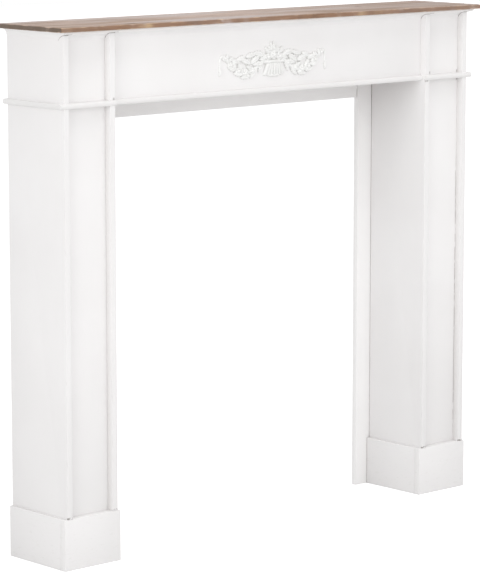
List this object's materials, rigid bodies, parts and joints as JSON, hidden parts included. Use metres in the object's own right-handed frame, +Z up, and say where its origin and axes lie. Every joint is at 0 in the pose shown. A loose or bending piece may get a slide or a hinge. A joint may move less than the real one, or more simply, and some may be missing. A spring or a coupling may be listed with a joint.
{
  "type": "fireplace mantelpiece",
  "caption": "White-painted wooden fireplace surround with plinthed legs, hollow-moulded cornice, a carved floral garland on the frieze and a thin bare-wood shelf",
  "frame": {"origin": "middle of the bounding box at floor level", "axes": "+X across the width to the right of a viewer facing it, +Y into the room's wall (back), +Z up"},
  "size_m": [1.09, 0.184, 1],
  "materials": {
    "white_paint": "satin white paint, lightly rubbed",
    "carving": "satin white paint",
    "bare_wood": "matt grey-brown stain"
  },
  "bodies": {
    "root": {"top_board": "bare_wood", "frieze_panel": "white_paint", "frieze_cove": "white_paint", "frieze_bead": "white_paint", "carved_garland": "carving", "back_rail": "white_paint", "side_outer_left": "white_paint", "side_inner_left": "white_paint", "leg_panel_left": "white_paint", "head_cove_left": "white_paint", "side_cove_left": "white_paint", "collar_left": "white_paint", "plinth_front_left": "white_paint", "plinth_outer_left": "white_paint", "plinth_inner_left": "white_paint", "back_stile_left": "white_paint", "side_outer_right": "white_paint", "side_inner_right": "white_paint", "leg_panel_right": "white_paint", "head_cove_right": "white_paint", "side_cove_right": "white_paint", "collar_right": "white_paint", "plinth_front_right": "white_paint", "plinth_outer_right": "white_paint", "plinth_inner_right": "white_paint", "back_stile_right": "white_paint"}
  },
  "joints": []
}
